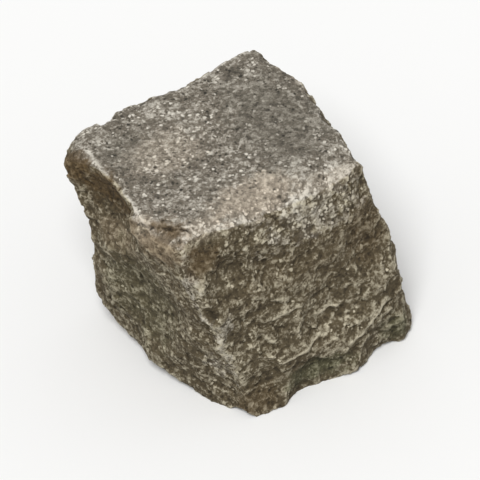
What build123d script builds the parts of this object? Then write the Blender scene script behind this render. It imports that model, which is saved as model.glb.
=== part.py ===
from build123d import *

import os
from collections import namedtuple
from math import cos, radians, sin

# One hand-split basalt paving sett of the 10 cm size, in millimetres.
# It stands on its bed. The front (-Y) and the left side (-X) are the two sides seen in the photograph.

# Driving dimensions: the sett leans, so its head sits to the left of its bed and further back.
HEIGHT = 100.0
HEAD_LEFT, HEAD_RIGHT = -62.3, 43.5
HEAD_FRONT, HEAD_BACK = -36.0, 51.5
BED_LEFT, BED_RIGHT = -50.0, 56.0
BED_FRONT, BED_BACK = -51.5, 49.0

# A split is a flat break: the way it faces (degrees round from +X), its tilt above the level, a point on it.
Split = namedtuple("Split", "heading tilt through")
LEFT, FRONT, RIGHT, BACK = 180.0, 270.0, 0.0, 90.0

HEAD_SPLITS = {
    "front_slope": Split(FRONT + 4, 74, (0, -22, HEIGHT)),
    "front_left_fall": Split(FRONT - 48, 66, (-44, -26, HEIGHT)),
    "left_fall": Split(LEFT - 2, 62, (-54, 10, HEIGHT)),
    "back_fall": Split(BACK + 5, 78, (0, 44, HEIGHT)),
    "right_fall": Split(RIGHT + 2, 77, (34, 0, HEIGHT)),
    "right_corner": Split(FRONT + 58, 60, (35, -30, 98)),
    "back_left_corner": Split(BACK + 55, 52, (-53, 44.5, 97)),
}
FRONT_SPLITS = {
    "brow": Split(FRONT - 8, 17, (-16, -39.5, 90)),
    "brow_right": Split(FRONT + 15, 14, (24, -38, 92)),
    "foot_right": Split(FRONT + 15, 4, (42, -49, 12)),
}
LEFT_SPLITS = {
    "front_foot": Split(LEFT + 21, -9, (-44, -16, 0)),
    "front_toe": Split(LEFT + 46, -6, (-33, -46, 0)),
    "back_foot": Split(LEFT - 10, -25, (-46.5, 34, 4)),
}
RIGHT_SPLITS = {
    "shoulder": Split(RIGHT - 7, 14, (43.5, -5, 86)),
    "back_half": Split(RIGHT + 12, 3.5, (51, 30, 40)),
    "front_arris": Split(RIGHT - 38, 9, (48.8, -41.5, 30)),
}
BACK_SPLITS = {
    "left_half": Split(BACK + 1, 1, (-24, 51.6, 50)),
    "right_arris": Split(BACK - 40, 5, (48.6, 46.6, 60)),
    "left_arris": Split(BACK + 57, -7, (-54, 35.1, 20)),
    "foot": Split(BACK - 3, -12, (10, 48, 22)),
}
BED_SPLITS = {
    "front": Split(FRONT + 2, -52, (0, -49, 0)),
    "left": Split(LEFT + 3, -48, (-42, 10, 0)),
    "right": Split(RIGHT - 2, -50, (52, 0, 0)),
    "right_front": Split(FRONT + 47, -40, (50, -43, 0)),
    "back": Split(BACK - 4, -45, (0, 45, 0)),
    "back_left": Split(BACK + 46, -38, (-38, 41, 0)),
}

# A scar is where a flake has come off: a shallow shell-shaped hollow, cut as part of a ball.
Scar = namedtuple("Scar", "on heading tilt radius depth")
SCARS = {
    "under_lip": Scar((-56, 12, 87), LEFT, -8, 36, 4.0),
    "under_front_corner": Scar((-28, -41, 76), FRONT - 12, 8, 34, 2.6),
    "corner_recess": Scar((-42, -37, 87), FRONT - 10, 10, 15, 2.6),
    "front_upper_right": Scar((29, -41.5, 64), FRONT + 12, 8, 70, 2.0),
    "front_middle": Scar((7, -44.5, 45), FRONT + 4, 8, 78, 2.2),
    "front_left": Scar((-24, -45, 42), FRONT - 10, 4, 50, 1.8),
    "front_left_foot": Scar((-22, -48.7, 18), FRONT - 14, 0, 42, 1.8),
    "front_foot": Scar((0.5, -50, 10.5), FRONT, -4, 50, 2.3),
    "front_right_ledge": Scar((33.5, -49.5, 11.5), FRONT + 10, -6, 44, 2.0),
    "front_right_notch": Scar((36, -47.5, 3.5), FRONT + 10, -30, 16, 2.2),
    "left_belly": Scar((-50, -6, 46), LEFT + 8, -6, 90, 2.6),
    "left_front": Scar((-53, -24, 71), LEFT + 14, -6, 48, 1.6),
    "left_front_foot": Scar((-40.5, -34, 19.5), LEFT + 38, -8, 50, 1.8),
    "left_back_foot": Scar((-52, 16, 19.5), LEFT + 2, -14, 52, 1.8),
    "under_back_corner": Scar((-57, 37, 56), LEFT - 33, -7, 73, 4.6),
    "right_upper": Scar((49, 12, 66), RIGHT + 4, 6, 46, 4.0),
    "right_front": Scar((48, -20, 58), RIGHT - 6, 6, 52, 1.8),
    "right_foot": Scar((54, -10, 22), RIGHT, 0, 60, 3.4),
    "right_back_foot": Scar((52.5, 28, 26), RIGHT + 10, 2, 54, 2.2),
    "right_back_head": Scar((44.5, 36, 84), RIGHT + 14, 10, 40, 1.8),
    "back_middle": Scar((8, 50, 56), BACK, 0, 80, 4.2),
    "back_left_foot": Scar((-28, 49.8, 24), BACK + 6, -4, 56, 2.4),
    "back_left_head": Scar((-34, 51, 72), BACK + 6, 4, 50, 2.0),
    "back_right_foot": Scar((34, 47, 22), BACK - 8, -4, 48, 2.0),
    "back_right_head": Scar((30, 51, 80), BACK - 4, 6, 46, 2.0),
    "back_edge": Scar((5, 51.5, 98), BACK, 24, 70, 3.2),
    "head_dip": Scar((-8, 16, HEIGHT), FRONT, 88, 210, 1.6),
}

# The four sides are hackled all over: one small flake for each blow of a staggered grid, all a little different.
BLOW_ROWS, BLOW_COLUMNS, BLOW_PITCH = 5, 5, 20.0
BLOW_RADIUS, BLOW_DEPTH = 30.0, 1.1
PITCH_SPREAD, RADIUS_SPREAD, DEPTH_SPREAD = 0.5 * BLOW_PITCH, 30.0, 0.8
GOLDEN_SHARE = 0.618034


def facing(heading, tilt):
    """Unit vector for a direction given round from +X and up from the level."""
    level = cos(radians(tilt))
    return Vector(level * cos(radians(heading)), level * sin(radians(heading)), sin(radians(tilt)))


def rough_block():
    """The block as first split: a level bed and head, joined by four flat sides."""
    bed = Rectangle(BED_RIGHT - BED_LEFT, BED_BACK - BED_FRONT)
    head = Rectangle(HEAD_RIGHT - HEAD_LEFT, HEAD_BACK - HEAD_FRONT)
    bed_place = Pos((BED_LEFT + BED_RIGHT) / 2, (BED_FRONT + BED_BACK) / 2, 0)
    head_place = Pos((HEAD_LEFT + HEAD_RIGHT) / 2, (HEAD_FRONT + HEAD_BACK) / 2, HEIGHT)
    return loft([bed_place * bed, head_place * head], ruled=True)


def cleave(stone, cut):
    """Takes off what lies beyond a split."""
    plane = Plane(origin=cut.through, z_dir=facing(cut.heading, cut.tilt))
    return stone.split(plane, keep=Keep.BOTTOM)


def flake(stone, scar):
    """Takes a shell-shaped flake off a face, to the scar's depth at its middle."""
    centre = Vector(*scar.on) + facing(scar.heading, scar.tilt) * (scar.radius - scar.depth)
    return stone - Pos(centre.X, centre.Y, centre.Z) * Sphere(scar.radius)


def uneven(count, step):
    """A number from -0.5 to 0.5 that jumps about evenly as the count goes up."""
    return (count * step * GOLDEN_SHARE) % 1 - 0.5


def blow_ball(stone, heading, row, column, count):
    """The ball that cuts one small flake, where the blow's level line meets the stone."""
    out, along = facing(heading, 0), facing(heading + 90, 0)
    stagger = 0.5 * (row % 2) - 0.25
    across = (column - (BLOW_COLUMNS - 1) / 2 + stagger) * BLOW_PITCH + uneven(count, 1) * PITCH_SPREAD
    height = HEIGHT / 2 + (row - (BLOW_ROWS - 1) / 2) * BLOW_PITCH + uneven(count, 3) * PITCH_SPREAD
    start = out * HEIGHT + along * across + Vector(0, 0, height)
    met = stone.find_intersection_points(Axis(start, out * -1))
    if not met:
        return None
    point, normal = met[0]
    radius = BLOW_RADIUS + uneven(count, 7) * RADIUS_SPREAD
    depth = BLOW_DEPTH + uneven(count, 11) * DEPTH_SPREAD
    outward = normal if normal.dot(out) > 0 else normal * -1
    centre = point + outward * (radius - depth)
    return Pos(centre.X, centre.Y, centre.Z) * Sphere(radius)


def hackle(stone):
    """Takes the small flakes off all four sides at once."""
    balls = []
    for heading in (FRONT, LEFT, RIGHT, BACK):
        for row in range(BLOW_ROWS):
            for column in range(BLOW_COLUMNS):
                balls.append(blow_ball(stone, heading, row, column, len(balls) + 1))
    return stone - [ball for ball in balls if ball]


def make_sett():
    """The whole stone, standing on its bed over the origin."""
    stone = rough_block()
    for splits in (HEAD_SPLITS, FRONT_SPLITS, LEFT_SPLITS, RIGHT_SPLITS, BACK_SPLITS, BED_SPLITS):
        for cut in splits.values():
            stone = cleave(stone, cut)
    for scar in SCARS.values():
        stone = flake(stone, scar)
    stone = hackle(stone)
    middle = stone.bounding_box().center()
    lowest = stone.bounding_box().min.Z
    return Pos(-middle.X, -middle.Y, -lowest) * stone


os.makedirs("parts", exist_ok=True)
export_step(make_sett(), "parts/sett.step")
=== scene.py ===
"""One hand-split basalt sett on a plain pale floor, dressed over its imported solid."""

from collections import namedtuple
from functools import partial
from math import cos, radians, sin

import bmesh
import bpy
from bpy.props import FloatProperty, FloatVectorProperty, IntProperty, PointerProperty
from mathutils import Matrix, Vector


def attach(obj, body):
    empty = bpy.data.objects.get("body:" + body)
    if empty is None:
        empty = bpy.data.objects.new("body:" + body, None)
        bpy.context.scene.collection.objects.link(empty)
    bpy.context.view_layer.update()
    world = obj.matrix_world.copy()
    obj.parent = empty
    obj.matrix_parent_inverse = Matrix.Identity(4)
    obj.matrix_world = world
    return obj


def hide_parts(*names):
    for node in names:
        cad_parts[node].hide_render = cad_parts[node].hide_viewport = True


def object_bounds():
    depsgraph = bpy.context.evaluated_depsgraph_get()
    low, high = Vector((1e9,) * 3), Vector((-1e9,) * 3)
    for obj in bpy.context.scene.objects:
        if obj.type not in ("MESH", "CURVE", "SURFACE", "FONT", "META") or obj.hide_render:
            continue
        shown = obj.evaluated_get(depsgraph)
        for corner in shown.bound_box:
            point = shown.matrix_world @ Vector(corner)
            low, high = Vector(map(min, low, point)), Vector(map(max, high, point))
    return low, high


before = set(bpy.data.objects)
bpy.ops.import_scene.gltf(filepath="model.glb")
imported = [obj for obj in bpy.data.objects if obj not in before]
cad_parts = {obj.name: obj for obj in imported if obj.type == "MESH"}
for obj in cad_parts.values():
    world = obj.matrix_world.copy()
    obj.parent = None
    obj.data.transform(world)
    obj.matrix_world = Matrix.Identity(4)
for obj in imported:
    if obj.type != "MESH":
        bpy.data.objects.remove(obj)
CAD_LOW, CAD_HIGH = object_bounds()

bl_info = {
    "name": "Basalt sett",
    "version": (1, 0, 0),
    "blender": (4, 5, 0),
    "location": "3D View > Sidebar > Sett",
    "description": "Dresses a hand-split basalt paving sett and sets the stage for its picture",
    "category": "Object",
}

MM = 0.001


def linear(hex_colour):
    """An sRGB hex colour as linear red, green and blue."""
    parts = [int(hex_colour[i:i + 2], 16) / 255 for i in (1, 3, 5)]
    return tuple(p / 12.92 if p <= 0.04045 else ((p + 0.055) / 1.055) ** 2.4 for p in parts)


def add_node(tree, kind, links=None, **settings):
    """Adds a node with its settings, and links or fills the inputs that are named."""
    node = tree.nodes.new(kind)
    for name, value in settings.items():
        setattr(node, name, value)
    for key, value in (links or {}).items():
        if isinstance(value, bpy.types.NodeSocket):
            tree.links.new(value, node.inputs[key])
        else:
            node.inputs[key].default_value = value
    return node


class StoneShape(bpy.types.PropertyGroup):
    """How finely the stone is made and how deep its breaks go."""

    voxel: FloatProperty(
        name="Mesh size", description="Side of the mesh's squares",
        default=0.84 * MM, unit="LENGTH", precision=5)
    skin: FloatProperty(
        name="Skin", description="Stone left on before the small breaks are cut",
        default=0.35 * MM, unit="LENGTH", precision=5)
    flake_spacing: FloatProperty(
        name="Flake spacing", description="Distance between the small flakes split off the sides",
        default=11 * MM, unit="LENGTH", precision=4)
    flake_depth: FloatProperty(
        name="Flake depth", description="Greatest depth of a small flake on the sides",
        default=0.9 * MM, unit="LENGTH", precision=5)
    flake_rounds: IntProperty(
        name="Flake rounds", description="How many times the sides are flaked over", default=5)
    chip_spacing: FloatProperty(
        name="Chip spacing", description="Distance between the chips along the arrises",
        default=8 * MM, unit="LENGTH", precision=4)
    chip_depth: FloatProperty(
        name="Chip depth", description="Greatest depth of a chip in an arris",
        default=1.5 * MM, unit="LENGTH", precision=5)
    chip_rounds: IntProperty(
        name="Chip rounds", description="How many times the arrises are chipped over", default=5)
    facet_size: FloatProperty(
        name="Facet size", description="Width of the little flats of a hackly break",
        default=7 * MM, unit="LENGTH", precision=4)
    facet_tilt: FloatProperty(
        name="Facet tilt", description="How far the little flats are turned, as a slope", default=0.26)
    grit_size: FloatProperty(
        name="Grit size", description="Width of the larger grains that stand out of a break",
        default=2.2 * MM, unit="LENGTH", precision=5)
    grit_depth: FloatProperty(
        name="Grit depth", description="How far the grains stand out",
        default=0.6 * MM, unit="LENGTH", precision=5)
    seed: IntProperty(name="Seed", description="Changes the random breaks", default=4)


class StoneColours(bpy.types.PropertyGroup):
    """The colours of the stone's breaks, bruises and stains."""

    dark: FloatVectorProperty(
        name="Dark grain", description="Dark minerals and pits", subtype="COLOR", default=linear("#302d26"))
    middle: FloatVectorProperty(
        name="Ground mass", description="Most of the head", subtype="COLOR", default=linear("#776f62"))
    pale: FloatVectorProperty(
        name="Pale grain", description="Pale minerals of the head", subtype="COLOR",
        default=linear("#dcd6c9"))
    side_dark: FloatVectorProperty(
        name="Dark patina", description="Pits of the sides", subtype="COLOR", default=linear("#393123"))
    side_middle: FloatVectorProperty(
        name="Patina", description="Brown skin of most of the sides", subtype="COLOR",
        default=linear("#605540"))
    side_pale: FloatVectorProperty(
        name="Pale patina", description="Pale minerals of the sides", subtype="COLOR",
        default=linear("#ccc3ab"))
    bruise: FloatVectorProperty(
        name="Bruise", description="Stone crushed by the hammer", subtype="COLOR",
        default=linear("#b2a593"))
    ochre: FloatVectorProperty(
        name="Ochre skin", description="Stained skin over a bruise", subtype="COLOR",
        default=linear("#7c6c56"))
    rust: FloatVectorProperty(
        name="Rust stain", description="Iron-stained skin of an old joint", subtype="COLOR",
        default=linear("#534228"))
    moss: FloatVectorProperty(
        name="Green stain", description="Thin green film low on the sides", subtype="COLOR",
        default=linear("#55573e"))
    slate: FloatVectorProperty(
        name="Cool grey", description="Cleaner, greyer stone of the head", subtype="COLOR",
        default=linear("#666156"))


class StageSetup(bpy.types.PropertyGroup):
    """Camera, floor and light."""

    azimuth: FloatProperty(
        name="Azimuth", description="Camera's way round the stone", default=radians(-31), subtype="ANGLE")
    elevation: FloatProperty(
        name="Elevation", description="Camera's height above the level", default=radians(43),
        subtype="ANGLE")
    roll: FloatProperty(
        name="Roll", description="Camera's turn about its own line of sight", default=radians(-3),
        subtype="ANGLE")
    distance: FloatProperty(
        name="Distance", description="Camera to the stone", default=2.5, unit="LENGTH")
    view_width: FloatProperty(
        name="View width", description="Width seen at the stone", default=0.2, unit="LENGTH")
    sun: FloatProperty(name="Sun", description="Strength of the soft lamp", default=2.2)
    sky: FloatProperty(name="Sky", description="Strength of the light from all round", default=0.48)
    floor_seen: FloatVectorProperty(
        name="Floor", description="The floor as the camera sees it", subtype="COLOR",
        default=linear("#f6f6f5"))
    floor_bounce: FloatVectorProperty(
        name="Floor bounce", description="The floor as it lights the stone", subtype="COLOR",
        default=linear("#a8a6a2"))


# Where the stains and bruises lie, two of them partly painted shade: the colour, the middle and the half
# sizes in mm, and the strength.
# A later one lies over the earlier ones.
STAINS = (
    ("slate", (24, 4, 100), (20, 26, 10), 0.55),
    ("slate", (8, -20, 100), (10, 6, 6), 0.4),
    ("slate", (26, 30, 100), (16, 14, 10), 0.35),
    ("slate", (-38, 27, 100), (12, 12, 8), 0.45),
    ("bruise", (-24, 16, 100), (18, 13, 8), 0.3),
    ("bruise", (-9, -26, 99), (19, 10, 8), 0.65),
    ("bruise", (-36, -29, 98), (12, 5, 6), 0.35),
    ("bruise", (24, -33, 97), (18, 4, 6), 0.25),
    ("bruise", (-54, -15, 97), (6, 9, 6), 0.4),
    ("ochre", (-49, -23, 92), (11, 11, 9), 0.7),
    ("ochre", (-51, 12, 69), (8, 15, 8), 0.4),
    # Rust over the head's left corner, partly painted shade: the corner falls away more steeply than the
    # solid does, and these two stains darken it for that shade as well as for its rust.
    ("rust", (-57, 36, 95), (6, 10, 9), 0.85),
    ("rust", (-52, 16, 89), (9, 19, 11), 0.9),
    ("rust", (-40, -37, 87), (9, 7, 8), 0.7),
    ("rust", (-57, -9, 95), (4, 5, 4), 0.6),
    ("rust", (-49, -20, 99), (4, 4, 3), 0.7),
    ("rust", (-45, -25, 99), (4, 4, 3), 0.75),
    ("rust", (12, -40, 66), (34, 9, 16), 0.15),
    ("rust", (38, -39, 66), (11, 9, 20), 0.4),
    ("moss", (-47, 5, 42), (12, 24, 26), 0.28),
    ("moss", (6, -49, 9), (16, 8, 7), 0.6),
    ("moss", (47, -49, 10), (9, 9, 9), 0.5),
    ("rust", (-23, -46, 7), (10, 9, 8), 0.45),
    ("rust", (50, 14, 72), (9, 24, 15), 0.35),
    ("moss", (53, 22, 18), (10, 26, 16), 0.4),
    ("bruise", (47, 30, 94), (7, 16, 6), 0.35),
    ("rust", (-12, 49, 66), (28, 9, 15), 0.35),
    ("moss", (16, 48, 16), (32, 9, 15), 0.4),
    ("rust", (-54, 34, 40), (8, 10, 22), 0.3),
)
# Where crushed grains lie thick, in mm: the middle and the half sizes.
CRUMBS = (
    ((13, -38, 86), (30, 9, 13)),
    ((-46, -36, 77), (5, 5, 9)),
    ((-35, -43, 50), (6, 6, 9)),
    ((-35, -36, 26), (7, 8, 9)),
)

# Lines drawn on the stone, in mm. A line stands out by its rise, and the stone above it by its swell.
Line = namedtuple("Line", "name half_width rise swell paths")
LINES = (
    Line("crest", 3.2, 0.5, 0.0, (
        ((-47, -31, 97), (-40, -30, 98), (-29, -33, 98), (-23, -32, 98), (-18, -36, 96), (-7, -34, 97),
         (0, -36, 96), (9, -35, 96), (16, -34, 96), (22, -33, 96), (33, -34, 96), (37, -35, 90)),
        ((-47, -31, 97), (-47, -36, 82), (-45, -36, 69), (-43, -38, 61), (-37, -44, 47), (-36, -45, 32),
         (-34, -42, 14)),
    )),
    Line("rim", 1.5, 0.9, 0.0, (
        ((-49, 38, 100), (-51, 20, 100), (-51, 3, 100), (-53, -13, 99)),
    )),
    Line("ledge", 1.5, 0.4, 0.9, (
        ((-11, -48, 23), (2, -48, 24), (10, -47, 28)),
        ((21, -48, 17), (27, -47, 19), (35, -47, 24), (40, -47, 28)),
        ((-13, -44, 46), (-8, -44, 46), (1, -44, 46)),
        ((11, -46, 36), (18, -45, 36)),
        ((-18, -45, 39), (-13, -46, 33)),
    )),
    Line("crease", 1.0, 0.5, 0.0, (
        ((37, 10, 99), (36, -7, 100), (29, -13, 100)),
        ((55, -24, 30), (55, -10, 29), (55, 2, 37), (54, 16, 44)),
        ((49, -4, 74), (49, 6, 70), (49, 13, 71)),
        ((-34, 49, 32), (-22, 50, 38), (-12, 50, 36)),
        ((12, 50, 71), (22, 50, 65), (33, 48, 66)),
    )),
    Line("crack", 1.0, -0.8, 0.0, (
        ((-50, 20, 76), (-57, -11, 97), (-52, -18, 99), (-46, -24, 99), (-41, -28, 99)),
    )),
)
# A line's edge is torn by noise of this size. The rest is in half widths: how much the noise, from 0 to 1,
# adds to the distance from the line, and the sums at which the line ends and is whole.
TEAR_SIZE = 3 * MM
TEAR_REACH, LINE_ENDS, LINE_WHOLE = 3.8, 2.8, 1.85
# The swelling above a ledge: how much the noise adds to the height over the line, the sums at which it starts
# and is whole, and the distance from the line at which it has died away.
SWELL_TEAR, SWELL_STARTS, SWELL_WHOLE, SWELL_REACH = 3 * MM, 0.8 * MM, 2.0 * MM, 8 * MM

# Masks of what stands proud of the surface round it: how many steps of the mesh count as round it, and the
# heights at which the mask is 0 and 1. The first says where to chip, and the others are for the colours.
Bulge = namedtuple("Bulge", "name steps low high")
ARRIS = Bulge("arris", 45, 0.25 * MM, 1.3 * MM)
FINISHED_BULGES = (
    Bulge("ridge", 5, 0.06 * MM, 0.34 * MM),
    Bulge("hollow", 14, -0.1 * MM, -0.7 * MM),
    Bulge("proud", 40, 0.2 * MM, 1.4 * MM),
)
# How many steps of the mesh the solid's edges are worn round over, and the way it faces is evened over.
WEAR_STEPS, FACING_STEPS = 4, 12
# How upright the surface's normal is where the head ends and where a side is all side.
HEAD_ENDS, SIDE_WHOLE = 0.85, 0.6

# How small flakes are struck: the mask that says where, the least and greatest radius of the ball that cuts
# one, how far its rim is moved in and out, and how far the ball swings off the way the surface faces.
Blows = namedtuple("Blows", "where radii ragged swing")
FLAKES = Blows("side", (16 * MM, 60 * MM), 0.3 * MM, 0.12)
CHIPS = Blows("arris", (5 * MM, 20 * MM), 0.25 * MM, 0.5)
# A blow falls where the mask is over this. Each round of blows moves its seed on by the step.
STRUCK_OVER, SEED_STEP = 0.3, 31.0
# Most flakes are thin, because an even random share of the depth is raised to this power.
THINNESS = 2.2
THINNESS_SEED, SWING_SEED = 7, 11
# A flake's rim is broken by noise of this size, most of which lies between the two values.
RIM_NOISE = 4 * MM
NOISE_LOW, NOISE_HIGH = 0.2, 0.8
# No point moves by more than this share of its flake's depth.
MOST_MOVED = 1.2

# The smaller facets' width as a share of the larger ones', and the head's hackle as a share of the sides'.
SMALL_FACET, HEAD_HACKLE = 0.45, 0.5
# Low swells of the whole surface: width, height and detail.
SWELLS = ((26 * MM, 1.2 * MM, 2.0), (8 * MM, 0.7 * MM, 3.0))

# Noise and the random colours of cells run from 0 to 1; these take off their middle.
NOISE_MIDDLE = 0.5
TO_MIDDLE = (-NOISE_MIDDLE,) * 3


def strike(tree, mesh, blows, rounds, spacing, depth, seed):
    """Takes shell-shaped flakes off a mesh, round after round.

    Each flake is cut by a ball that lies outside the stone."""
    add = partial(add_node, tree)
    end = add("GeometryNodeRepeatOutput")
    start = add("GeometryNodeRepeatInput", {"Iterations": rounds})
    start.pair_with_output(end)
    tree.links.new(mesh, start.inputs["Geometry"])
    stone = start.outputs["Geometry"]
    place = add("GeometryNodeInputPosition").outputs[0]

    # A round's blows keep their distance, and there are no more than one for each square of it.
    round_seed = add(
        "ShaderNodeMath", {0: start.outputs["Iteration"], 1: SEED_STEP, 2: seed},
        operation="MULTIPLY_ADD").outputs[0]
    packing = add("ShaderNodeMath", {0: spacing, 1: -2.0}, operation="POWER").outputs[0]
    wanted = add("GeometryNodeInputNamedAttribute", {"Name": blows.where}, data_type="FLOAT").outputs[0]
    chosen = add("ShaderNodeMath", {0: wanted, 1: STRUCK_OVER}, operation="GREATER_THAN").outputs[0]
    struck = add(
        "GeometryNodeDistributePointsOnFaces",
        {"Mesh": stone, "Selection": chosen, "Distance Min": spacing, "Density Max": packing,
         "Seed": round_seed},
        distribute_method="POISSON").outputs["Points"]

    # Each blow has its own ball, depth and direction.
    radius = add(
        "FunctionNodeRandomValue", {2: blows.radii[0], 3: blows.radii[1], "Seed": round_seed},
        data_type="FLOAT").outputs[1]
    even = add(
        "FunctionNodeRandomValue", {2: 0.0, 3: 1.0, "Seed": THINNESS_SEED}, data_type="FLOAT").outputs[1]
    share = add("ShaderNodeMath", {0: even, 1: THINNESS}, operation="POWER").outputs[0]
    facing = add("GeometryNodeInputNamedAttribute", {"Name": "facing"}, data_type="FLOAT_VECTOR").outputs[0]
    swing = add(
        "FunctionNodeRandomValue", {0: (-blows.swing,) * 3, 1: (blows.swing,) * 3, "Seed": SWING_SEED},
        data_type="FLOAT_VECTOR").outputs[0]
    swung = add("ShaderNodeVectorMath", {0: facing, 1: swing}, operation="ADD").outputs[0]
    out = add("ShaderNodeVectorMath", {0: swung}, operation="NORMALIZE").outputs[0]

    # Every point of the stone reads them from the blow nearest to it.
    nearest = add("GeometryNodeSampleNearest", {"Geometry": struck, "Sample Position": place}).outputs[0]
    read = {}
    for name, value, kind in (
        ("point", place, "FLOAT_VECTOR"), ("out", out, "FLOAT_VECTOR"),
        ("radius", radius, "FLOAT"), ("share", share, "FLOAT"),
    ):
        read[name] = add(
            "GeometryNodeSampleIndex", {"Geometry": struck, "Index": nearest, "Value": value},
            data_type=kind, domain="POINT").outputs[0]
    sunk = add("ShaderNodeMath", {0: read["share"], 1: depth}, operation="MULTIPLY").outputs[0]
    reach = add("ShaderNodeMath", {0: read["radius"], 1: sunk}, operation="SUBTRACT").outputs[0]
    arm = add("ShaderNodeVectorMath", {0: read["out"], "Scale": reach}, operation="SCALE").outputs[0]
    centre = add("ShaderNodeVectorMath", {0: read["point"], 1: arm}, operation="ADD").outputs[0]

    # A point inside the ball is pushed back to the ball's surface, with a ragged rim.
    from_centre = add("ShaderNodeVectorMath", {0: place, 1: centre}, operation="SUBTRACT").outputs[0]
    away = add("ShaderNodeVectorMath", {0: from_centre}, operation="NORMALIZE").outputs[0]
    length = add("ShaderNodeVectorMath", {0: from_centre}, operation="LENGTH").outputs["Value"]
    within = add("ShaderNodeMath", {0: read["radius"], 1: length}, operation="SUBTRACT").outputs[0]
    rough = add(
        "ShaderNodeTexNoise", {"Vector": place, "Scale": 1 / RIM_NOISE, "Detail": 3.0}).outputs[0]
    rim = add(
        "ShaderNodeMapRange",
        {"Value": rough, "From Min": NOISE_LOW, "From Max": NOISE_HIGH, "To Min": -blows.ragged,
         "To Max": blows.ragged},
        clamp=False).outputs[0]
    uneven = add("ShaderNodeMath", {0: within, 1: rim}, operation="ADD").outputs[0]
    least = add("ShaderNodeMath", {0: uneven, 1: 0.0}, operation="MAXIMUM").outputs[0]
    most = add("ShaderNodeMath", {0: sunk, 1: MOST_MOVED}, operation="MULTIPLY").outputs[0]
    push = add("ShaderNodeMath", {0: least, 1: most}, operation="MINIMUM").outputs[0]
    shift = add("ShaderNodeVectorMath", {0: away, "Scale": push}, operation="SCALE").outputs[0]
    moved = add("GeometryNodeSetPosition", {"Geometry": stone, "Offset": shift}).outputs[0]
    tree.links.new(moved, end.inputs["Geometry"])
    return end.outputs["Geometry"]


def facets(tree, size, tilt):
    """Height of a hackly break, where every cell is a little flat that is turned its own way."""
    add = partial(add_node, tree)
    place = add("GeometryNodeInputPosition").outputs[0]
    density = add("ShaderNodeMath", {0: 1.0, 1: size}, operation="DIVIDE").outputs[0]
    wander = add("ShaderNodeTexNoise", {"Vector": place, "Scale": density, "Detail": 3.0}).outputs["Color"]
    off = add("ShaderNodeVectorMath", {0: wander, 1: TO_MIDDLE}, operation="ADD").outputs[0]
    bend = add("ShaderNodeVectorMath", {0: off, "Scale": size}, operation="SCALE").outputs[0]
    bent = add("ShaderNodeVectorMath", {0: place, 1: bend}, operation="ADD").outputs[0]
    cells = add("ShaderNodeTexVoronoi", {"Vector": bent, "Scale": density}).outputs
    from_middle = add(
        "ShaderNodeVectorMath", {0: bent, 1: cells["Position"]}, operation="SUBTRACT").outputs[0]
    turn = add("ShaderNodeVectorMath", {0: cells["Color"], 1: TO_MIDDLE}, operation="ADD").outputs[0]
    slope = add("ShaderNodeVectorMath", {0: from_middle, 1: turn}, operation="DOT_PRODUCT").outputs["Value"]
    return add("ShaderNodeMath", {0: slope, 1: tilt}, operation="MULTIPLY").outputs[0]


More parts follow.
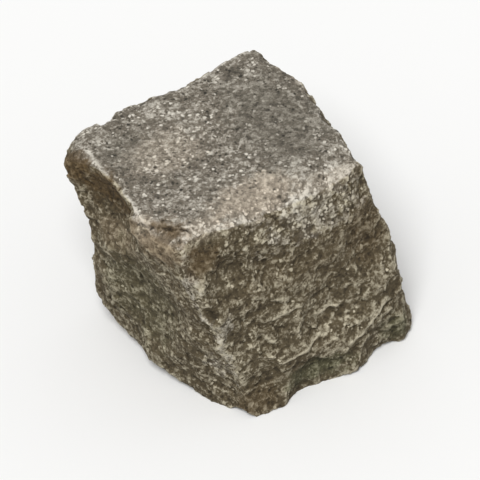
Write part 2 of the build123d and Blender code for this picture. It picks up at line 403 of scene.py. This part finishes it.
def stone_tree(material, lines):
    """Geometry Nodes that chip, flake and roughen a remeshed block, and draw its ledges and cracks."""
    tree = bpy.data.node_groups.new("split_stone", "GeometryNodeTree")
    face = tree.interface
    face.new_socket("Geometry", in_out="OUTPUT", socket_type="NodeSocketGeometry")
    face.new_socket("Geometry", in_out="INPUT", socket_type="NodeSocketGeometry")
    for name, kind in (
        ("Skin", "Float"), ("Flake spacing", "Float"), ("Flake depth", "Float"), ("Flake rounds", "Int"),
        ("Chip spacing", "Float"), ("Chip depth", "Float"), ("Chip rounds", "Int"),
        ("Facet size", "Float"), ("Facet tilt", "Float"), ("Grit size", "Float"), ("Grit depth", "Float"),
        ("Seed", "Int"), ("Box low", "Vector"), ("Box high", "Vector"),
    ):
        face.new_socket(name, in_out="INPUT", socket_type=f"NodeSocket{kind}")
    add = partial(add_node, tree)
    given = add("NodeGroupInput").outputs
    place = add("GeometryNodeInputPosition").outputs[0]
    normal = add("GeometryNodeInputNormal").outputs[0]

    def keep_bulge(stone, bulge):
        """Stores how far each point stands proud of the surface round it, as 0 to 1."""
        mean = add(
            "GeometryNodeBlurAttribute", {"Value": place, "Iterations": bulge.steps},
            data_type="FLOAT_VECTOR").outputs[0]
        proud = add("ShaderNodeVectorMath", {0: place, 1: mean}, operation="SUBTRACT").outputs[0]
        along = add("ShaderNodeVectorMath", {0: proud, 1: normal}, operation="DOT_PRODUCT").outputs["Value"]
        share = add(
            "ShaderNodeMapRange", {"Value": along, "From Min": bulge.low, "From Max": bulge.high}).outputs[0]
        return add(
            "GeometryNodeStoreNamedAttribute", {"Geometry": stone, "Name": bulge.name, "Value": share},
            data_type="FLOAT", domain="POINT").outputs[0]

    def lifted(stone, height):
        """Moves the surface outwards by a height."""
        out = add("GeometryNodeInputNamedAttribute", {"Name": "facing"}, data_type="FLOAT_VECTOR").outputs[0]
        lift = add("ShaderNodeVectorMath", {0: out, "Scale": height}, operation="SCALE").outputs[0]
        return add("GeometryNodeSetPosition", {"Geometry": stone, "Offset": lift}).outputs[0]

    # The knife edges of the solid are worn round first.
    worn = add(
        "GeometryNodeBlurAttribute", {"Value": place, "Iterations": WEAR_STEPS},
        data_type="FLOAT_VECTOR").outputs[0]
    stone = add("GeometryNodeSetPosition", {"Geometry": given["Geometry"], "Position": worn}).outputs[0]
    stone = keep_bulge(stone, ARRIS)

    # The way the surface faces, and whether that makes it a side, are kept before it is broken up.
    facing = add(
        "GeometryNodeBlurAttribute", {"Value": normal, "Iterations": FACING_STEPS},
        data_type="FLOAT_VECTOR").outputs[0]
    stone = add(
        "GeometryNodeStoreNamedAttribute", {"Geometry": stone, "Name": "facing", "Value": facing},
        data_type="FLOAT_VECTOR", domain="POINT").outputs[0]
    upward = add("ShaderNodeSeparateXYZ", {0: facing}).outputs["Z"]
    upright = add("ShaderNodeMath", {0: upward}, operation="ABSOLUTE").outputs[0]
    sideways = add(
        "ShaderNodeMapRange", {"Value": upright, "From Min": HEAD_ENDS, "From Max": SIDE_WHOLE}).outputs[0]
    stone = add(
        "GeometryNodeStoreNamedAttribute", {"Geometry": stone, "Name": "side", "Value": sideways},
        data_type="FLOAT", domain="POINT").outputs[0]

    stone = lifted(stone, given["Skin"])
    stone = strike(
        tree, stone, FLAKES, given["Flake rounds"], given["Flake spacing"], given["Flake depth"],
        given["Seed"])
    stone = strike(
        tree, stone, CHIPS, given["Chip rounds"], given["Chip spacing"], given["Chip depth"],
        given["Seed"])

    # The break is hackly in two sizes; the head is trodden smoother than the sides.
    small = add(
        "ShaderNodeMath", {0: given["Facet size"], 1: SMALL_FACET}, operation="MULTIPLY").outputs[0]
    large_part, small_part = (
        facets(tree, size, given["Facet tilt"]) for size in (given["Facet size"], small))
    height = add("ShaderNodeMath", {0: large_part, 1: small_part}, operation="ADD").outputs[0]
    side = add("GeometryNodeInputNamedAttribute", {"Name": "side"}, data_type="FLOAT").outputs[0]
    hackle = add(
        "ShaderNodeMath", {0: side, 1: 1 - HEAD_HACKLE, 2: HEAD_HACKLE}, operation="MULTIPLY_ADD").outputs[0]
    height = add("ShaderNodeMath", {0: height, 1: hackle}, operation="MULTIPLY").outputs[0]

    # Low swells and grit lie over the facets.
    for width, rise, detail in SWELLS:
        swell = add("ShaderNodeTexNoise", {"Vector": place, "Scale": 1 / width, "Detail": detail}).outputs[0]
        centred = add("ShaderNodeMath", {0: swell, 1: NOISE_MIDDLE}, operation="SUBTRACT").outputs[0]
        height = add(
            "ShaderNodeMath", {0: centred, 1: rise, 2: height}, operation="MULTIPLY_ADD").outputs[0]
    density = add("ShaderNodeMath", {0: 1.0, 1: given["Grit size"]}, operation="DIVIDE").outputs[0]
    grit = add(
        "ShaderNodeTexNoise",
        {"Vector": place, "Scale": density, "Detail": 3.0, "Roughness": 0.65}).outputs[0]
    centred = add("ShaderNodeMath", {0: grit, 1: NOISE_MIDDLE}, operation="SUBTRACT").outputs[0]
    height = add(
        "ShaderNodeMath", {0: centred, 1: given["Grit depth"], 2: height},
        operation="MULTIPLY_ADD").outputs[0]

    # Each kind of line is laid on the stone, and its nearness is kept for the colours.
    tear = add(
        "ShaderNodeTexNoise",
        {"Vector": place, "Scale": 1 / TEAR_SIZE, "Detail": 4.0, "Roughness": 0.7}).outputs[0]
    for line in LINES:
        half_width = line.half_width * MM
        drawn = add("GeometryNodeObjectInfo", {"Object": lines[line.name]}).outputs["Geometry"]
        fine = add("GeometryNodeSubdivideMesh", {"Mesh": drawn, "Level": 3}).outputs[0]
        surface = add("GeometryNodeProximity", {0: stone}, target_element="FACES").outputs["Position"]
        laid = add("GeometryNodeSetPosition", {"Geometry": fine, "Position": surface}).outputs[0]
        near = add("GeometryNodeProximity", {0: laid}, target_element="EDGES").outputs
        torn = add(
            "ShaderNodeMath", {0: tear, 1: half_width * TEAR_REACH, 2: near["Distance"]},
            operation="MULTIPLY_ADD").outputs[0]
        share = add(
            "ShaderNodeMapRange",
            {"Value": torn, "From Min": half_width * LINE_ENDS, "From Max": half_width * LINE_WHOLE},
            interpolation_type="SMOOTHSTEP").outputs[0]
        stone = add(
            "GeometryNodeStoreNamedAttribute", {"Geometry": stone, "Name": line.name, "Value": share},
            data_type="FLOAT", domain="POINT").outputs[0]
        marked = add("GeometryNodeInputNamedAttribute", {"Name": line.name}, data_type="FLOAT").outputs[0]
        height = add(
            "ShaderNodeMath", {0: marked, 1: line.rise * MM, 2: height},
            operation="MULTIPLY_ADD").outputs[0]
        if line.swell:
            # The stone above a ledge swells out to its edge, and breaks off short below it.
            from_line = add(
                "ShaderNodeVectorMath", {0: place, 1: near["Position"]}, operation="SUBTRACT").outputs[0]
            over = add("ShaderNodeSeparateXYZ", {0: from_line}).outputs["Z"]
            edge = add(
                "ShaderNodeMath", {0: tear, 1: SWELL_TEAR, 2: over}, operation="MULTIPLY_ADD").outputs[0]
            above = add(
                "ShaderNodeMapRange",
                {"Value": edge, "From Min": SWELL_STARTS, "From Max": SWELL_WHOLE}).outputs[0]
            reach = add(
                "ShaderNodeMapRange", {"Value": near["Distance"], "From Min": SWELL_REACH, "From Max": 0.0},
                interpolation_type="SMOOTHSTEP").outputs[0]
            swollen = add("ShaderNodeMath", {0: above, 1: reach}, operation="MULTIPLY").outputs[0]
            height = add(
                "ShaderNodeMath", {0: swollen, 1: line.swell * MM, 2: height},
                operation="MULTIPLY_ADD").outputs[0]
    stone = lifted(stone, height)

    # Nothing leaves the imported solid's box.
    under = add("ShaderNodeVectorMath", {0: place, 1: given["Box high"]}, operation="MINIMUM").outputs[0]
    boxed = add("ShaderNodeVectorMath", {0: under, 1: given["Box low"]}, operation="MAXIMUM").outputs[0]
    stone = add("GeometryNodeSetPosition", {"Geometry": stone, "Position": boxed}).outputs[0]

    for bulge in FINISHED_BULGES:
        stone = keep_bulge(stone, bulge)
    smooth = add("GeometryNodeSetShadeSmooth", {"Geometry": stone}).outputs[0]
    whole = add("GeometryNodeRealizeInstances", {"Geometry": smooth}).outputs[0]
    dressed = add("GeometryNodeSetMaterial", {"Geometry": whole, "Material": material}).outputs[0]
    add("NodeGroupOutput", {"Geometry": dressed})
    return tree


def line_mesh(name, paths):
    """An object of bare edges that run through the points of some paths, given in mm."""
    mesh = bpy.data.meshes.new(name)
    points, edges = [], []
    for path in paths:
        edges += [(len(points) + i, len(points) + i + 1) for i in range(len(path) - 1)]
        points += [[m * MM for m in point] for point in path]
    mesh.from_pydata(points, edges, [])
    drawn = bpy.data.objects.new(name, mesh)
    bpy.context.scene.collection.objects.link(drawn)
    return drawn


# The tone runs from 0 in a dark pit to 1 on a pale grain. Each cloud of it has a width, a detail and a share.
MIDDLE_TONE = 0.5
CLOUDS = ((30 * MM, 2.0, 0.4), (9 * MM, 4.0, 0.7), (3 * MM, 4.0, 1.1))
# Width of the grains and their share of the tone. They are coarser than the real ones, so that they show.
GRAINS = ((1.2 * MM, 0.32), (0.6 * MM, 0.24))
# The grains' outlines are bent this far, by noise of this size.
GRAIN_BEND, GRAIN_BEND_SIZE = 1.4 * MM, 1.2 * MM
# How much paler the stone is where each mask is 1.
TONE_SHARES = {
    "ridge": 0.24, "hollow": -0.35, "proud": 0.12, "crushed": 0.06, "rim": 0.35, "ledge": 0.52,
    "crease": 0.18, "crack": -0.35,
}
MASKS = ("ridge", "hollow", "proud", "side", "crest", "rim", "ledge", "crease", "crack")

# Pale crystals and dark pits lie one to a cell of this width. In cell widths from its middle, a spot ends and
# is whole here. The real ones are finer, and these are coarse enough to show.
SPOT_SPACING, SPOT_ENDS, SPOT_WHOLE = 1.5 * MM, 0.56, 0.36
CLUSTER_SIZE = 7 * MM
# The odds of a crystal go up in crushed stone and in a cluster, and down on a side.
CRUSHED_ODDS, CLUSTER_ODDS, SIDE_ODDS = 0.34, 0.9, -0.1
# The odds at which a spot starts and is whole, and how much paler it is.
CRYSTAL, PIT = (1.35, 1.39, 0.78), (0.84, 0.88, -0.36)

# The edges of stained places, and of the sides' skin, are torn by noise of this size.
RAGGED_SIZE = 5 * MM
# A place is measured in its half sizes, plus the noise times the first: where that sum ends it and is whole.
AREA_TEAR, AREA_ENDS, AREA_WHOLE = 1.8, 2.2, 1.45
# The sides' skin: how much the noise and crushed stone count, and the sums at which it starts and is whole.
SKIN_TEAR, SKIN_CRUSHED, SKIN_STARTS, SKIN_WHOLE = 1.2, -0.5, 0.8, 1.3
# How light a stain's colour is on the darkest and on the palest tone.
STAIN_DARKEST, STAIN_PALEST = 0.25, 1.75
# The roughness of the surface between the grains: its width, and how much a grain's tone adds to it.
BUMP_SIZE, GRAIN_BUMP = 0.9 * MM, 0.8


def basalt(colours):
    """Basalt split by hand and left to weather.

    Its fine dark ground mass is peppered with pale and dark grains, and crushed pale along the arrises.
    It is matt all over."""
    material = bpy.data.materials.new("basalt_hand_split")
    material.use_nodes = True
    tree = material.node_tree
    tree.nodes.clear()
    add = partial(add_node, tree)
    point = add("ShaderNodeTexCoord").outputs["Object"]
    masks = {name: add("ShaderNodeAttribute", attribute_name=name).outputs["Fac"] for name in MASKS}
    ragged = add(
        "ShaderNodeTexNoise",
        {"Vector": point, "Scale": 1 / RAGGED_SIZE, "Detail": 4.0, "Roughness": 0.65}).outputs[0]

    def area(middle, half_sizes):
        """A mask that is 1 in the middle of an egg-shaped place given in mm, and ends raggedly."""
        off = add(
            "ShaderNodeVectorMath", {0: point, 1: [-m * MM for m in middle]}, operation="ADD").outputs[0]
        scaled = add(
            "ShaderNodeVectorMath", {0: off, 1: [1 / (h * MM) for h in half_sizes]},
            operation="MULTIPLY").outputs[0]
        far = add("ShaderNodeVectorMath", {0: scaled}, operation="LENGTH").outputs["Value"]
        torn = add("ShaderNodeMath", {0: ragged, 1: AREA_TEAR, 2: far}, operation="MULTIPLY_ADD").outputs[0]
        return add(
            "ShaderNodeMapRange", {"Value": torn, "From Min": AREA_ENDS, "From Max": AREA_WHOLE},
            interpolation_type="SMOOTHSTEP").outputs[0]

    # The grains' outlines are bent a little, so that they aren't plain cells.
    wander = add(
        "ShaderNodeTexNoise", {"Vector": point, "Scale": 1 / GRAIN_BEND_SIZE, "Detail": 2.0}).outputs["Color"]
    off = add("ShaderNodeVectorMath", {0: wander, 1: TO_MIDDLE}, operation="ADD").outputs[0]
    bend = add("ShaderNodeVectorMath", {0: off, "Scale": GRAIN_BEND}, operation="SCALE").outputs[0]
    bent = add("ShaderNodeVectorMath", {0: point, 1: bend}, operation="ADD").outputs[0]

    tone = MIDDLE_TONE
    for width, detail, share in CLOUDS:
        noise = add(
            "ShaderNodeTexNoise",
            {"Vector": point, "Scale": 1 / width, "Detail": detail, "Roughness": 0.6}).outputs[0]
        centred = add("ShaderNodeMath", {0: noise, 1: NOISE_MIDDLE}, operation="SUBTRACT").outputs[0]
        tone = add("ShaderNodeMath", {0: centred, 1: share, 2: tone}, operation="MULTIPLY_ADD").outputs[0]

    # Each grain has its own tone, which is its height as well.
    grain = 0.0
    for width, share in GRAINS:
        cells = add("ShaderNodeTexVoronoi", {"Vector": bent, "Scale": 1 / width}).outputs
        chance = add("ShaderNodeSeparateColor", {0: cells["Color"]}).outputs[0]
        centred = add("ShaderNodeMath", {0: chance, 1: NOISE_MIDDLE}, operation="SUBTRACT").outputs[0]
        grain = add("ShaderNodeMath", {0: centred, 1: share, 2: grain}, operation="MULTIPLY_ADD").outputs[0]
    tone = add("ShaderNodeMath", {0: tone, 1: grain}, operation="ADD").outputs[0]

    crushed = masks["crest"]
    for middle, half_sizes in CRUMBS:
        crushed = add(
            "ShaderNodeMath", {0: area(middle, half_sizes), 1: crushed}, operation="MAXIMUM").outputs[0]
    masks["crushed"] = crushed
    for name, share in TONE_SHARES.items():
        tone = add(
            "ShaderNodeMath", {0: masks[name], 1: share, 2: tone}, operation="MULTIPLY_ADD").outputs[0]

    # Single pale crystals and dark pits of about 1.2 mm lie over the grains.
    cells = add("ShaderNodeTexVoronoi", {"Vector": bent, "Scale": 1 / SPOT_SPACING}).outputs
    drawn = add("ShaderNodeSeparateColor", {0: cells["Color"]}).outputs
    round_spot = add(
        "ShaderNodeMapRange",
        {"Value": cells["Distance"], "From Min": SPOT_ENDS, "From Max": SPOT_WHOLE}).outputs[0]
    cluster = add(
        "ShaderNodeTexNoise", {"Vector": point, "Scale": 1 / CLUSTER_SIZE, "Detail": 2.0}).outputs[0]
    odds = drawn["Green"]
    for mask, share in ((crushed, CRUSHED_ODDS), (cluster, CLUSTER_ODDS), (masks["side"], SIDE_ODDS)):
        odds = add("ShaderNodeMath", {0: mask, 1: share, 2: odds}, operation="MULTIPLY_ADD").outputs[0]
    for value, (starts, whole, share) in ((odds, CRYSTAL), (drawn["Blue"], PIT)):
        picked = add(
            "ShaderNodeMapRange", {"Value": value, "From Min": starts, "From Max": whole}).outputs[0]
        spot = add("ShaderNodeMath", {0: picked, 1: round_spot}, operation="MULTIPLY").outputs[0]
        tone = add("ShaderNodeMath", {0: spot, 1: share, 2: tone}, operation="MULTIPLY_ADD").outputs[0]

    # The head and the sides each have their own run of colours, from pit to pale grain.
    ramps = []
    for dark, middle, light in (
        (colours.dark, colours.middle, colours.pale),
        (colours.side_dark, colours.side_middle, colours.side_pale),
    ):
        ramp = add("ShaderNodeValToRGB", {"Fac": tone})
        stops = ramp.color_ramp.elements
        stops[0].position, stops[0].color = 0.0, (*dark, 1)
        stops[1].position, stops[1].color = 1.0, (*light, 1)
        stops.new(MIDDLE_TONE).color = (*middle, 1)
        ramps.append(ramp.outputs["Color"])
    patchy = add(
        "ShaderNodeMath", {0: ragged, 1: SKIN_TEAR, 2: masks["side"]}, operation="MULTIPLY_ADD").outputs[0]
    patchy = add(
        "ShaderNodeMath", {0: crushed, 1: SKIN_CRUSHED, 2: patchy}, operation="MULTIPLY_ADD").outputs[0]
    skin = add(
        "ShaderNodeMapRange", {"Value": patchy, "From Min": SKIN_STARTS, "From Max": SKIN_WHOLE}).outputs[0]
    colour = add("ShaderNodeMix", {"Factor": skin, 6: ramps[0], 7: ramps[1]}, data_type="RGBA").outputs[2]

    # A stain tints the grains under it, so it is darker and paler with the tone.
    shade = add(
        "ShaderNodeMapRange",
        {"Value": tone, "From Min": 0.0, "From Max": 1.0, "To Min": STAIN_DARKEST,
         "To Max": STAIN_PALEST}).outputs[0]
    for name, middle, half_sizes, strength in STAINS:
        tint = add(
            "ShaderNodeVectorMath", {0: list(getattr(colours, name)), "Scale": shade},
            operation="SCALE").outputs[0]
        laid = add(
            "ShaderNodeMath", {0: area(middle, half_sizes), 1: strength}, operation="MULTIPLY").outputs[0]
        colour = add("ShaderNodeMix", {"Factor": laid, 6: colour, 7: tint}, data_type="RGBA").outputs[2]

    bumps = add(
        "ShaderNodeTexNoise",
        {"Vector": point, "Scale": 1 / BUMP_SIZE, "Detail": 4.0, "Roughness": 0.65}).outputs[0]
    heights = add(
        "ShaderNodeMath", {0: grain, 1: GRAIN_BUMP, 2: bumps}, operation="MULTIPLY_ADD").outputs[0]
    bump = add("ShaderNodeBump", {"Height": heights, "Distance": 0.5 * MM, "Strength": 0.9}).outputs[0]
    shader = add(
        "ShaderNodeBsdfPrincipled",
        {"Base Color": colour, "Roughness": 0.88, "IOR": 1.55, "Specular IOR Level": 0.3, "Normal": bump})
    add("ShaderNodeOutputMaterial", {"Surface": shader.outputs[0]})
    return material


def merged_copy(node, name):
    """A new object with a CAD node's mesh, its loose triangles joined."""
    mesh = node.data.copy()
    mesh.name = name
    mesh.materials.clear()
    work = bmesh.new()
    work.from_mesh(mesh)
    bmesh.ops.remove_doubles(work, verts=work.verts, dist=0.001 * MM)
    work.to_mesh(mesh)
    work.free()
    copy = bpy.data.objects.new(name, mesh)
    bpy.context.scene.collection.objects.link(copy)
    return copy


class SETT_OT_stone(bpy.types.Operator):
    """Makes the sett: its split faces, chipped arrises and grit, in basalt"""

    bl_idname = "sett.stone"
    bl_label = "Make the stone"

    def execute(self, context):
        shape = context.scene.sett_shape
        block = merged_copy(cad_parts["sett"], "sett_block")
        remesh = block.modifiers.new("even_mesh", "REMESH")
        remesh.mode, remesh.voxel_size = "VOXEL", shape.voxel
        split = block.modifiers.new("split_stone", "NODES")
        lines = {line.name: line_mesh(line.name, line.paths) for line in LINES}
        tree = stone_tree(basalt(context.scene.sett_colours), lines)
        split.node_group = tree
        values = {
            "Skin": shape.skin, "Flake spacing": shape.flake_spacing, "Flake depth": shape.flake_depth,
            "Flake rounds": shape.flake_rounds, "Chip spacing": shape.chip_spacing,
            "Chip depth": shape.chip_depth, "Chip rounds": shape.chip_rounds,
            "Facet size": shape.facet_size, "Facet tilt": shape.facet_tilt,
            "Grit size": shape.grit_size, "Grit depth": shape.grit_depth, "Seed": shape.seed,
            "Box low": CAD_LOW, "Box high": CAD_HIGH,
        }
        for socket in tree.interface.items_tree:
            if socket.in_out == "INPUT" and socket.name in values:
                split[socket.identifier] = values[socket.name]
        evaluated = block.evaluated_get(context.evaluated_depsgraph_get())
        mesh = bpy.data.meshes.new_from_object(evaluated)
        mesh.name = "basalt_sett"
        for spent in (block, *lines.values()):
            bpy.data.objects.remove(spent)
        if not mesh.polygons:
            raise RuntimeError("the stone came out empty")
        stone = bpy.data.objects.new("basalt_sett", mesh)
        context.scene.collection.objects.link(stone)
        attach(stone, "root")
        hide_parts("sett")
        return {"FINISHED"}


# The floor runs this far each way. The lamp is soft like a bright overcast sky, and stands to the front left.
FLOOR_HALF = 3.0
LAMP_SPREAD = radians(22)
LAMP_FROM = Vector((-0.52, -0.57, 1.13))
# The camera's sensor in mm, and the nearest and furthest that it sees in metres.
SENSOR_WIDTH = 36
CLIP_NEAR, CLIP_FAR = 0.1, 100


def seen_directly(tree):
    """1 for a ray from the camera, straight, by a gloss or through glass, and 0 for one that only lights."""
    rays = add_node(tree, "ShaderNodeLightPath").outputs
    seen = rays["Is Camera Ray"]
    for name in ("Is Glossy Ray", "Is Transmission Ray"):
        seen = add_node(tree, "ShaderNodeMath", {0: seen, 1: rays[name]}, operation="MAXIMUM").outputs[0]
    return seen


def pale_floor(setup):
    """Matt white paint: near white where it is seen, and greyer as it lights the stone."""
    paint = bpy.data.materials.new("matt_floor")
    paint.use_nodes = True
    tree = paint.node_tree
    tree.nodes.clear()
    add = partial(add_node, tree)
    colour = add(
        "ShaderNodeMix",
        {"Factor": seen_directly(tree), 6: (*setup.floor_bounce, 1), 7: (*setup.floor_seen, 1)},
        data_type="RGBA").outputs[2]
    matt = add("ShaderNodeBsdfDiffuse", {"Color": colour})
    add("ShaderNodeOutputMaterial", {"Surface": matt.outputs[0]})
    return paint


def even_sky(setup):
    """White all round where it is seen, and weaker as it lights the stone."""
    world = bpy.data.worlds.new("studio")
    world.use_nodes = True
    tree = world.node_tree
    tree.nodes.clear()
    add = partial(add_node, tree)
    strength = add(
        "ShaderNodeMix", {"Factor": seen_directly(tree), 2: setup.sky, 3: 1.0}, data_type="FLOAT").outputs[0]
    sky = add("ShaderNodeBackground", {"Color": (1, 1, 1, 1), "Strength": strength})
    add("ShaderNodeOutputWorld", {"Surface": sky.outputs[0]})
    return world


class SETT_OT_stage(bpy.types.Operator):
    """Makes the floor, the light and the camera"""

    bl_idname = "sett.stage"
    bl_label = "Set the stage"

    def execute(self, context):
        scene, setup = context.scene, context.scene.sett_stage
        mesh = bpy.data.meshes.new("floor")
        corners = [(x * FLOOR_HALF, y * FLOOR_HALF, 0) for x, y in ((-1, -1), (1, -1), (1, 1), (-1, 1))]
        mesh.from_pydata(corners, [], [(0, 1, 2, 3)])
        mesh.materials.append(pale_floor(setup))
        floor = bpy.data.objects.new("floor", mesh)
        scene.collection.objects.link(floor)
        scene.world = even_sky(setup)

        lamp = bpy.data.lights.new("soft_sun", "SUN")
        lamp.energy, lamp.angle = setup.sun, LAMP_SPREAD
        sun = bpy.data.objects.new("soft_sun", lamp)
        sun.rotation_euler = LAMP_FROM.to_track_quat("Z", "Y").to_euler()
        scene.collection.objects.link(sun)

        a, e = setup.azimuth, setup.elevation
        back = Vector((sin(a) * cos(e), -cos(a) * cos(e), sin(e)))
        right = Vector((cos(a), sin(a), 0))
        up = back.cross(right)
        across = right * cos(setup.roll) + up * sin(setup.roll)
        upright = up * cos(setup.roll) - right * sin(setup.roll)
        lens = bpy.data.cameras.new("camera")
        lens.sensor_width = SENSOR_WIDTH
        lens.lens = SENSOR_WIDTH * setup.distance / setup.view_width
        lens.clip_start, lens.clip_end = CLIP_NEAR, CLIP_FAR
        camera = bpy.data.objects.new("camera", lens)
        middle = (CAD_LOW + CAD_HIGH) / 2
        turned = Matrix((across, upright, back)).transposed().to_4x4()
        camera.matrix_world = Matrix.Translation(middle + back * setup.distance) @ turned
        scene.collection.objects.link(camera)
        scene.camera = camera
        scene.view_settings.view_transform = "Standard"
        return {"FINISHED"}


class SETT_PT_panel(bpy.types.Panel):
    """The stone, its colours and its stage"""

    bl_idname = "SETT_PT_panel"
    bl_label = "Basalt sett"
    bl_space_type = "VIEW_3D"
    bl_region_type = "UI"
    bl_category = "Sett"

    def draw(self, context):
        for group, operator in (
            ("sett_shape", "sett.stone"), ("sett_colours", None), ("sett_stage", "sett.stage"),
        ):
            settings = getattr(context.scene, group)
            for name in settings.bl_rna.properties.keys():
                if name not in ("rna_type", "name"):
                    self.layout.prop(settings, name)
            if operator:
                self.layout.operator(operator)


CLASSES = (StoneShape, StoneColours, StageSetup, SETT_OT_stone, SETT_OT_stage, SETT_PT_panel)
GROUPS = {"sett_shape": StoneShape, "sett_colours": StoneColours, "sett_stage": StageSetup}


def register():
    for cls in CLASSES:
        bpy.utils.register_class(cls)
    for name, group in GROUPS.items():
        setattr(bpy.types.Scene, name, PointerProperty(type=group))


def unregister():
    for name in GROUPS:
        delattr(bpy.types.Scene, name)
    for cls in reversed(CLASSES):
        bpy.utils.unregister_class(cls)


def main():
    """Makes the sett and its stage."""
    register()
    bpy.ops.sett.stone()
    bpy.ops.sett.stage()


if __name__ == "__main__":
    main()
